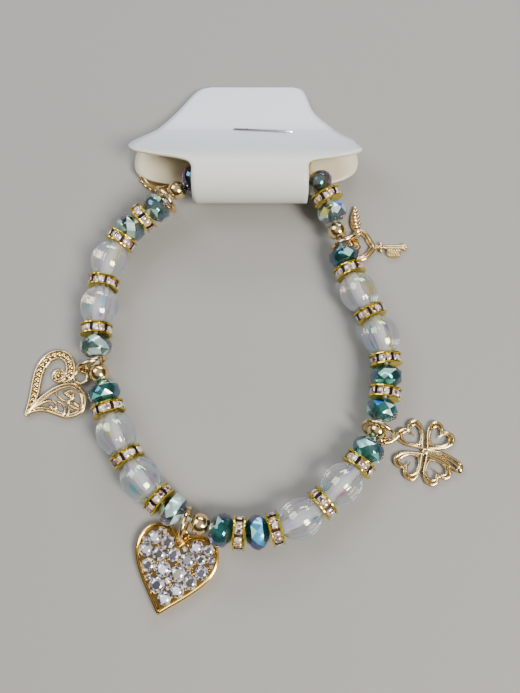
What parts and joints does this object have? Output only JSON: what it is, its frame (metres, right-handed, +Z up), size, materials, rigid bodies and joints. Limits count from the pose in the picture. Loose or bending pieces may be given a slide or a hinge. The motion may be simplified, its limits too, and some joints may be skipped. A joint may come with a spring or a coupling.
{
  "type": "charm bracelet on a display card",
  "caption": "Stretch bracelet of faceted and oval beads with rhinestone spacers and gold-coloured charms, lying with its top held in a small bare folded card.",
  "frame": {"origin": "under the middle of the whole part's bounding box, on the surface that it lies on", "axes": "+Z up from that surface, +Y from the pave heart's end of the bracelet to the card, +X to the side of the clover and the key"},
  "size_m": [0.0814, 0.105, 0.0112],
  "materials": {
    "teal_crystal": "faceted grey-green crystal with a blue and violet rainbow coating",
    "clear_crystal": "smooth clear crystal with a faint pink and violet rainbow coating",
    "spacer_gold": "bright yellow gold plating set with small clear stones",
    "charm_gold": "warm gold plating set with clear stones",
    "pale_gold": "polished pale champagne gold plating",
    "elastic": "translucent clear elastic",
    "card": "satin white card, cream inside, bare of printing"
  },
  "bodies": {
    "root": {"rondelle_1": "teal_crystal", "rondelle_2": "teal_crystal", "rondelle_3": "teal_crystal", "rondelle_4": "teal_crystal", "rondelle_5": "teal_crystal", "rondelle_6": "teal_crystal", "rondelle_7": "teal_crystal", "rondelle_8": "teal_crystal", "rondelle_9": "teal_crystal", "rondelle_10": "teal_crystal", "rondelle_11": "teal_crystal", "rondelle_12": "teal_crystal", "rondelle_13": "teal_crystal", "rondelle_14": "teal_crystal", "oval_1": "clear_crystal", "oval_2": "clear_crystal", "oval_3": "clear_crystal", "oval_4": "clear_crystal", "oval_5": "clear_crystal", "oval_6": "clear_crystal", "oval_7": "clear_crystal", "oval_8": "clear_crystal", "oval_9": "clear_crystal", "oval_10": "clear_crystal", "spacer_1": "spacer_gold", "spacer_2": "spacer_gold", "spacer_3": "spacer_gold", "spacer_4": "spacer_gold", "spacer_5": "spacer_gold", "spacer_6": "spacer_gold", "spacer_7": "spacer_gold", "spacer_8": "spacer_gold", "spacer_9": "spacer_gold", "spacer_10": "spacer_gold", "spacer_11": "spacer_gold", "spacer_12": "spacer_gold", "spacer_13": "spacer_gold", "spacer_14": "spacer_gold", "spacer_15": "spacer_gold", "spacer_16": "spacer_gold", "spacer_17": "spacer_gold", "spacer_18": "spacer_gold", "ball_1": "pale_gold", "ball_2": "pale_gold", "ball_3": "pale_gold", "ball_4": "pale_gold", "ball_5": "pale_gold", "elastic_thread": "elastic", "jump_ring_1": "pale_gold", "jump_ring_2": "pale_gold", "jump_ring_3": "pale_gold", "jump_ring_4": "pale_gold", "jump_ring_5": "pale_gold", "disc_charm": "pale_gold", "filigree_heart": "pale_gold", "clover": "pale_gold", "heart_key": "pale_gold", "pave_heart": "charm_gold", "display_card": "card"}
  },
  "joints": []
}
